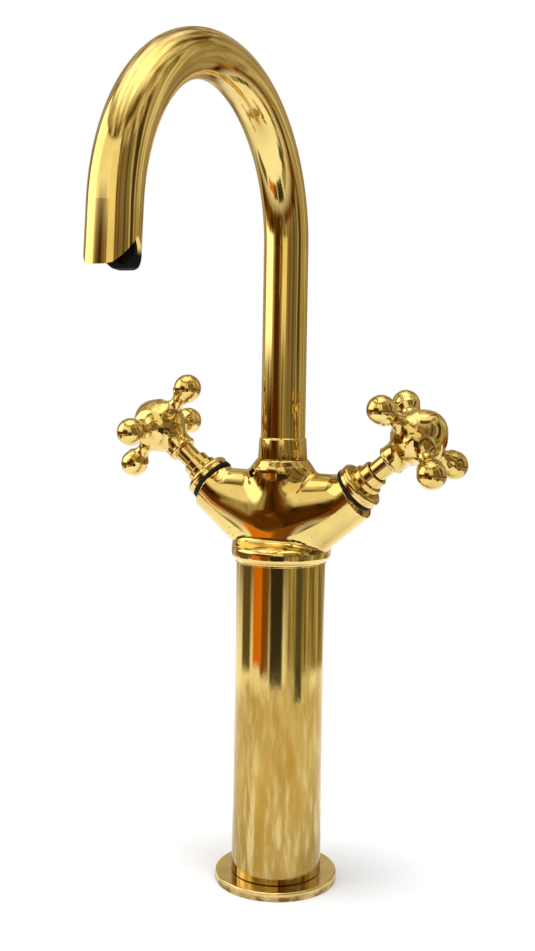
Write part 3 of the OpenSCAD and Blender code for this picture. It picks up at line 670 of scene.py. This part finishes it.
brass_cast = polished_brass("polished brass casting", BRASS, 0.03, 0.09, wave=0.06)
brass_body = polished_brass("polished brass body", BRASS, 0.03, 0.10, wave=0.10, pits=0.9)
brass_tube = polished_brass("polished brass tube", BRASS, 0.04, 0.12, wave=0.16, streak=(1, 1, 0.5),
                            shade_in_mouth=True)
LOOKS = {
    "polished_brass": brass_cast,
    "satin_brass": polished_brass("satin brass", FOOT_BRASS, 0.22, 0.42, wave=0.03),
    "black_rubber": plain_surface("black rubber", (0.006, 0.005, 0.004), (0.016, 0.014, 0.012), 0.6,
                                  gleam=0.10),
    "black_plastic": plain_surface("black plastic", (0.002, 0.002, 0.002), (0.006, 0.005, 0.004), 0.5,
                                   gleam=0.05),
    "white_plastic": plain_surface("white plastic", (0.75, 0.74, 0.70), (0.85, 0.84, 0.80), 0.4),
    "ceramic": plain_surface("ceramic", (0.80, 0.79, 0.75), (0.90, 0.89, 0.86), 0.15),
    "steel": plain_surface("bright steel", (0.50, 0.51, 0.53), (0.66, 0.67, 0.69), 0.25, metallic=1.0),
}
slots = {row["node"]: row["material_slot"] for row in frame["record"]["subparts"]}
for name, thing in nodes.items():
    paint(thing, LOOKS[slots[name]])
paint(nodes["column"], worn_column())
paint(nodes["base_flange"], foot_browner_low())
paint(nodes["spout_tube"], brass_tube)
paint(body_casting, brass_body)
paint(sleeve, brass_body)
for thing in handle_castings:
    paint(thing, brass_cast)


# Stage: world and floor

WHITE = (1, 1, 1, 1)
FLOOR_GREY = (0.86, 0.86, 0.86, 1)
FLOOR_R = 1.2


def seen_by_eye(tree):
    """1 for what the camera, glossy and transmitted rays meet."""
    path = tree.nodes.new("ShaderNodeLightPath").outputs
    direct = calc(tree, "MAXIMUM", path["Is Camera Ray"], path["Is Glossy Ray"])
    return calc(tree, "MAXIMUM", direct, path["Is Transmission Ray"])


def mix_shaders(tree, share, first, second):
    return add_node(tree, "ShaderNodeMixShader", {0: share, 1: first, 2: second}).outputs[0]


def studio_world():
    """White all round, a little weaker as a light than as the eye sees it."""
    world = bpy.data.worlds.new("studio")
    world.use_nodes = True
    tree = world.node_tree
    tree.nodes.clear()
    out = tree.nodes.new("ShaderNodeOutputWorld")
    light = add_node(tree, "ShaderNodeBackground", Color=WHITE, Strength=0.7)
    seen = add_node(tree, "ShaderNodeBackground", Color=WHITE, Strength=1.0)
    both = mix_shaders(tree, seen_by_eye(tree), light.outputs[0], seen.outputs[0])
    tree.links.new(both, out.inputs["Surface"])
    return world


def white_table():
    """White that keeps the tap's shadow, with painted shade round the foot where its glow is weaker, is
    lifted to pure white further out, and fades away at the rim.
    """
    m, tree, surface = empty_material("white table")
    distance = vector_calc(tree, "LENGTH", places(tree))
    diffuse = add_node(tree, "ShaderNodeBsdfDiffuse", Color=FLOOR_GREY).outputs[0]
    glow = add_node(tree, "ShaderNodeEmission", Color=WHITE)
    # Painted shade: the glow is weakest next to the foot, so the floor is darker there than further out
    tree.links.new(between(tree, distance, 0.035, 0.16, 0.02, 0.24), glow.inputs["Strength"])
    lit = add_node(tree, "ShaderNodeAddShader", {0: diffuse, 1: glow.outputs[0]}).outputs[0]
    table = mix_shaders(tree, seen_by_eye(tree), diffuse, lit)
    clear = tree.nodes.new("ShaderNodeBsdfTransparent").outputs[0]
    rim = between(tree, distance, 0.30, FLOOR_R * 0.95)
    tree.links.new(mix_shaders(tree, rim, table, clear), surface)
    return m


scene.world = studio_world()
bpy.ops.mesh.primitive_circle_add(vertices=96, radius=FLOOR_R, fill_type="NGON", location=(0, 0, 0))
floor = bpy.context.object
floor.name = "floor"
floor.data.materials.append(white_table())


# Stage: surroundings that only the metal mirrors. Lengths are in metres.

AZIMUTH = math.radians(25.16)
FAR = 1.25
CEILING_Z = 1.45
CEILING_HALF = 1.5
SKYLIGHT = (-0.15, -0.10, CEILING_Z)

# Shades of the mottled ones: value of the pattern and colour
WALL_SHADES = [(0.35, (0.06, 0.026, 0.006)), (0.43, (0.28, 0.19, 0.065)), (0.54, (0.60, 0.52, 0.34)),
               (0.67, (1.15, 1.08, 0.90))]
CEILING_SHADES = [(0.38, (0.11, 0.06, 0.015)), (0.48, (0.40, 0.295, 0.14)), (0.58, (0.78, 0.70, 0.50)),
                  (0.70, (1.25, 1.17, 0.98)), (0.82, (2.2, 2.1, 1.8))]
CURTAIN_SHADES = [(0.34, (0.22, 0.14, 0.06)), (0.50, (0.46, 0.37, 0.22)), (0.68, (0.80, 0.74, 0.58))]
CABINET_SHADES = [(0.34, (0.04, 0.016, 0.004)), (0.50, (0.12, 0.042, 0.006)), (0.68, (0.22, 0.075, 0.007))]
CHEST_SHADES = [(0.36, (0.035, 0.014, 0.003)), (0.50, (0.15, 0.055, 0.008)), (0.60, (0.40, 0.15, 0.015)),
                (0.74, (0.62, 0.42, 0.12))]
BENCH_SHADES = [(0.34, (0.10, 0.08, 0.04)), (0.44, (0.32, 0.26, 0.12)), (0.54, (0.56, 0.48, 0.27)),
                (0.68, (0.95, 0.86, 0.52))]


def mirrored_only(name, mesh, m):
    """Stage piece that nothing but the metal's reflections shows."""
    mesh.materials.append(m)
    thing = bpy.data.objects.new(name, mesh)
    scene.collection.objects.link(thing)
    thing.visible_camera = False
    thing.visible_diffuse = False
    thing.visible_shadow = False
    thing.visible_transmission = False


def curved_strip(name, span, heights, reach, steps=72):
    """Upright strip round the tap's axis; its map runs from 0 to 1 both ways."""
    points, faces, uv = [], [], []
    for k in range(steps + 1):
        a = AZIMUTH - math.pi / 2 + math.radians(span[0] + (span[1] - span[0]) * k / steps)
        for z in heights:
            points.append((reach * math.cos(a), reach * math.sin(a), z))
    for k in range(steps):
        faces.append((2 * k, 2 * k + 2, 2 * k + 3, 2 * k + 1))
        u0, u1 = k / steps, (k + 1) / steps
        uv += [(u0, 0), (u1, 0), (u1, 1), (u0, 1)]
    mesh = bpy.data.meshes.new(name)
    mesh.from_pydata(points, [], faces)
    layer = mesh.uv_layers.new(name="panel")
    for k, at in enumerate(uv):
        layer.data[k].uv = at
    return mesh


def soft_ends(tree, across, fade):
    """1 along the middle of a map's span, fading to 0 over the given share at both ends."""
    off_middle = calc(tree, "ABSOLUTE", calc(tree, "SUBTRACT", across, 0.5))
    # The hair past 0.5 gives a fade of 0 a clean edge
    return between(tree, off_middle, 0.5 - fade, 0.5001, 1.0, 0.0)


def panel(name, span, heights, look, fade, reach=FAR, strength=1.0, soft_top=0.0):
    """Curved studio panel: span in degrees from the camera, heights in metres.

    The look is a colour, or a pattern's scale and its shades. The fade is the soft share of the width and
    of the height at each end, and soft_top a longer one at the top alone.
    """
    m, tree, surface = empty_material(name)
    place = add_node(tree, "ShaderNodeUVMap", uv_map="panel").outputs["UV"]
    split = add_node(tree, "ShaderNodeSeparateXYZ", {"Vector": place}).outputs
    mask = calc(tree, "MULTIPLY", soft_ends(tree, split["X"], fade[0]), soft_ends(tree, split["Y"], fade[1]))
    if soft_top:
        mask = calc(tree, "MULTIPLY", mask, between(tree, split["Y"], 1 - soft_top, 1.0, 1.0, 0.0))
    if isinstance(look[0], tuple):
        stretched = add_node(tree, "ShaderNodeMapping", {"Vector": place}, Scale=look[0]).outputs["Vector"]
        look = ramp(tree, noise(tree, stretched, 1.0, 4.0), look[1])
    light = add_node(tree, "ShaderNodeEmission", Strength=strength)
    feed(tree, light.inputs["Color"], look)
    clear = tree.nodes.new("ShaderNodeBsdfTransparent").outputs[0]
    tree.links.new(mix_shaders(tree, mask, clear, light.outputs[0]), surface)
    mirrored_only(name, curved_strip(name, span, heights, reach), m)


def ceiling():
    """Mottled ceiling over the studio walls, brighter near its skylight."""
    m, tree, surface = empty_material("ceiling")
    from_skylight = places(tree, shift=tuple(-v for v in SKYLIGHT))
    glow = between(tree, vector_calc(tree, "LENGTH", from_skylight), 0.30, 1.1, 0.30, 0.02)
    mottle = noise(tree, places(tree, (2.2, 0.9, 1)), 1.6, 3.0)
    light = add_node(tree, "ShaderNodeEmission",
                     {"Color": ramp(tree, calc(tree, "ADD", mottle, glow), CEILING_SHADES)})
    tree.links.new(light.outputs[0], surface)
    mesh = bpy.data.meshes.new("ceiling")
    corners = [(x * CEILING_HALF, y * CEILING_HALF, CEILING_Z)
               for x, y in ((-1, -1), (1, -1), (1, 1), (-1, 1))]
    mesh.from_pydata(corners, [], [(0, 1, 2, 3)])
    mirrored_only("ceiling", mesh, m)


# Far round the tap
panel("room wall", (-180, 180), (-0.6, 1.5), ((30, 2.2, 1), WALL_SHADES), (0.0, 0.0), reach=1.32)
panel("back curtain", (126, 234), (-0.6, 1.45), ((9, 1.2, 1), CURTAIN_SHADES), (0.1, 0.0), reach=1.30)
panel("window", (-122, -66), (0.22, 1.4), (1.0, 0.97, 0.88), (0.12, 0.06), strength=2.2)
panel("brown cabinet", (-62, -22), (-0.45, 0.80), ((2.6, 2.2, 1), CABINET_SHADES), (0.16, 0.08),
      reach=FAR - 0.03, soft_top=0.36)
panel("white blind", (-72, 6), (0.48, 1.42), (1.0, 0.95, 0.80), (0.05, 0.14), reach=FAR + 0.01, strength=1.35)
panel("paper", (-20, 8), (0.22, 1.2), (1.0, 0.90, 0.60), (0.15, 0.12), strength=1.25)
panel("olive wall", (8, 60), (0.0, 1.2), (0.30, 0.24, 0.14), (0.12, 0.15))
panel("thin lath", (16, 24), (0.10, 1.2), (0.30, 0.10, 0.05), (0.3, 0.2), reach=FAR - 0.02)
panel("dark post", (36, 46), (0.0, 1.2), (0.12, 0.10, 0.05), (0.3, 0.2), reach=FAR - 0.02)
panel("dark door", (64, 80), (0.05, 1.2), (0.07, 0.06, 0.035), (0.25, 0.2), reach=FAR - 0.02)
panel("long brown chest", (-132, -18), (-0.6, 0.25), ((9, 1.5, 1), CHEST_SHADES), (0.06, 0.12), reach=1.24)
panel("dark skirting", (-12, 180), (-0.6, 0.16), ((14, 1.5, 1), CHEST_SHADES), (0.06, 0.2), reach=1.24)
ceiling()

# Near it, on the table: the column's mirrored stripes end where these do
panel("orange board", (-74, -44), (0.010, 0.10), (1.0, 0.28, 0.005), (0.2, 0.07), reach=0.38)
panel("brown board", (-54, -24), (0.0, 0.12), (0.26, 0.10, 0.015), (0.25, 0.07), reach=0.385)
panel("dark chest", (-114, -76), (0.004, 0.12), (0.17, 0.13, 0.06), (0.2, 0.07), reach=0.38)
panel("dark stand", (-28, 10), (0.0, 0.15), (0.04, 0.035, 0.022), (0.16, 0.06), reach=0.36)
panel("low olive bench", (10, 150), (0.0, 0.11), ((26, 0.6, 1), BENCH_SHADES), (0.08, 0.10), reach=0.39)
panel("low dark leg", (34, 62), (-0.01, 0.11), (0.12, 0.11, 0.06), (0.3, 0.06), reach=0.335)


# Stage: lamps, and the camera as it was worked out from the photo's outlines

LAMP_AIM = (0, 0, 0.1)
CAMERA_PLACE = (0.2512, -0.5348, 0.2531)
CAMERA_LENS = 46.11
CAMERA_SHIFT = (-0.0178, -0.1283)
CAMERA_ROLL = 0.017


def lamp(name, place, width, power):
    """Square lamp over the table that the metal doesn't mirror."""
    light = bpy.data.lights.new(name, "AREA")
    light.shape = "SQUARE"
    light.size = width
    light.energy = power
    thing = bpy.data.objects.new(name, light)
    scene.collection.objects.link(thing)
    thing.location = place
    thing.visible_glossy = False
    thing.rotation_euler = (Vector(LAMP_AIM) - Vector(place)).to_track_quat("-Z", "Y").to_euler()


lamp("key lamp", (-0.35, -0.20, 1.35), width=0.55, power=9)
lamp("fill lamp", (0.48, -0.10, 1.30), width=0.6, power=6)

camera = bpy.data.cameras.new("camera")
camera.lens = CAMERA_LENS
camera.sensor_width = 36
camera.sensor_fit = "AUTO"
camera.shift_x, camera.shift_y = CAMERA_SHIFT
camera.clip_start = 0.01
camera.clip_end = 50
eye = bpy.data.objects.new("camera", camera)
scene.collection.objects.link(eye)
eye.matrix_world = (Matrix.Translation(CAMERA_PLACE) @ Matrix.Rotation(AZIMUTH, 4, "Z")
                    @ Matrix.Rotation(math.pi / 2, 4, "X") @ Matrix.Rotation(CAMERA_ROLL, 4, "Z"))
scene.camera = eye
scene.view_settings.view_transform = "Standard"
